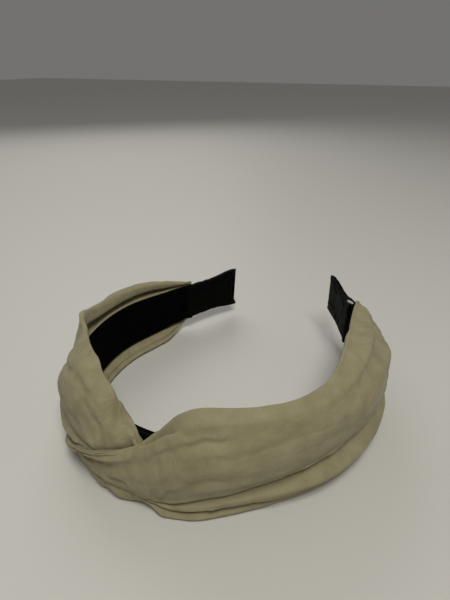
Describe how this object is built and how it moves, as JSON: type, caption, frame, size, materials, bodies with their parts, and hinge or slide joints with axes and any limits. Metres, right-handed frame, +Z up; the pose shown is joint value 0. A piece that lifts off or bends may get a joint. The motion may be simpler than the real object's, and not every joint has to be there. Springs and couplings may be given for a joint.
{
  "type": "knotted headband",
  "caption": "Wide knotted fabric headband: a springy plastic band lined with black ribbon, a pleated olive fabric cover crossed in a knot, and black satin sleeves on its ends.",
  "frame": {"origin": "middle of the lower edge that the headband lies on, under the centre of its box", "axes": "+Z up from the surface it lies on, +Y from the knot towards the open ends, +X towards the arm on the right when looking along +Y"},
  "size_m": [0.1482, 0.158, 0.048],
  "materials": {
    "cover_fabric": "matt olive-taupe woven faux suede with a faint sheen",
    "black_satin": "wrinkled black satin",
    "black_ribbon": "fine ribbed black ribbon, soft sheen",
    "band_plastic": "moulded, satin",
    "black_thread": "twisted thread",
    "hot_melt_glue": "translucent glossy hot-melt glue"
  },
  "bodies": {
    "crown": {"plastic_band_crown": "band_plastic", "satin_wrap_crown": "black_satin", "ribbon_lining_crown": "black_ribbon", "left_cover_knot_half": "cover_fabric", "right_cover_knot_half": "cover_fabric", "knot_tie_thread": "black_thread", "knot_glue_pad": "hot_melt_glue"},
    "left_arm": {"plastic_band_left": "band_plastic", "satin_wrap_left": "black_satin", "ribbon_lining_left": "black_ribbon", "left_cover_arm": "cover_fabric", "left_end_sleeve": "black_satin", "left_sleeve_seam": "black_thread", "left_gather_thread": "black_thread", "left_glue_pad": "hot_melt_glue"},
    "right_arm": {"plastic_band_right": "band_plastic", "satin_wrap_right": "black_satin", "ribbon_lining_right": "black_ribbon", "right_cover_arm": "cover_fabric", "right_end_sleeve": "black_satin", "right_sleeve_seam": "black_thread", "right_gather_thread": "black_thread", "right_glue_pad": "hot_melt_glue"}
  },
  "joints": [
    {"name": "left_flex", "type": "hinge", "parent": "crown", "child": "left_arm", "pos_m": [-0.0585, -0.02932, 0.019], "axis": [0, 0, 1], "range_deg": [-4, 16], "stiffness_Nm_per_rad": 1.2},
    {"name": "right_flex", "type": "hinge", "parent": "crown", "child": "right_arm", "pos_m": [0.06078, -0.02932, 0.019], "axis": [0, 0, -1], "range_deg": [-4, 16], "stiffness_Nm_per_rad": 1.2}
  ]
}
